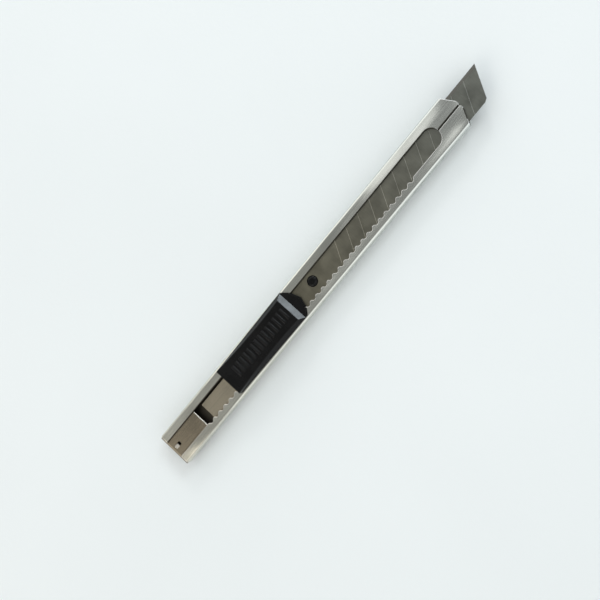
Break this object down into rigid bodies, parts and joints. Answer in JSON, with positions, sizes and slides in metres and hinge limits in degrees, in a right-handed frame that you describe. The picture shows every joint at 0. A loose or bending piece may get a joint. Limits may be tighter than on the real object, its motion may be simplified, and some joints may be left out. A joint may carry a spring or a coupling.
{
  "type": "utility knife",
  "caption": "Slim snap-off utility knife: folded steel sleeve with a ratchet window, scored blade, thumb slider on a sprung carriage, and a pull-off end clip.",
  "frame": {"origin": "centre of the sleeve's flat back face", "axes": "+X along the knife towards the blade's tip, +Y towards the cutting edge, +Z out of the thumb's side"},
  "size_m": [0.1395, 0.0114, 0.0079],
  "materials": {
    "sleeve_steel": "brushed and lightly polished stainless sheet",
    "blade_steel": "fine-ground dark carbon steel, brighter on the ground edge",
    "carrier_plastic": "satin moulded black",
    "stud_black": "glossy black",
    "spring_steel": "polished spring steel",
    "rivet_steel": "plain steel",
    "slider_plastic": "moulded black, worn to a soft gloss",
    "clip_steel": "brushed stainless strip"
  },
  "bodies": {
    "sleeve": {"sleeve": "sleeve_steel"},
    "carriage": {"blade_carrier": "carrier_plastic", "blade": "blade_steel", "blade_stud": "stud_black", "lock_spring": "spring_steel", "spring_rivets": "rivet_steel"},
    "thumb_slider": {"thumb_slider": "slider_plastic"},
    "end_clip": {"end_clip": "clip_steel"}
  },
  "joints": [
    {"name": "carriage_slide", "type": "slide", "parent": "sleeve", "child": "carriage", "axis": [1, 0, 0], "range_m": [-0.0125, 0.05], "deforming": ["lock_spring"]},
    {"name": "slider_press", "type": "slide", "parent": "carriage", "child": "thumb_slider", "axis": [0, 0, -1], "range_m": [0, 0.0005], "stiffness_N_per_m": 300, "springref_m": -0.002},
    {"name": "clip_pull", "type": "slide", "parent": "sleeve", "child": "end_clip", "axis": [-1, 0, 0], "range_m": [0, 0.016]}
  ]
}
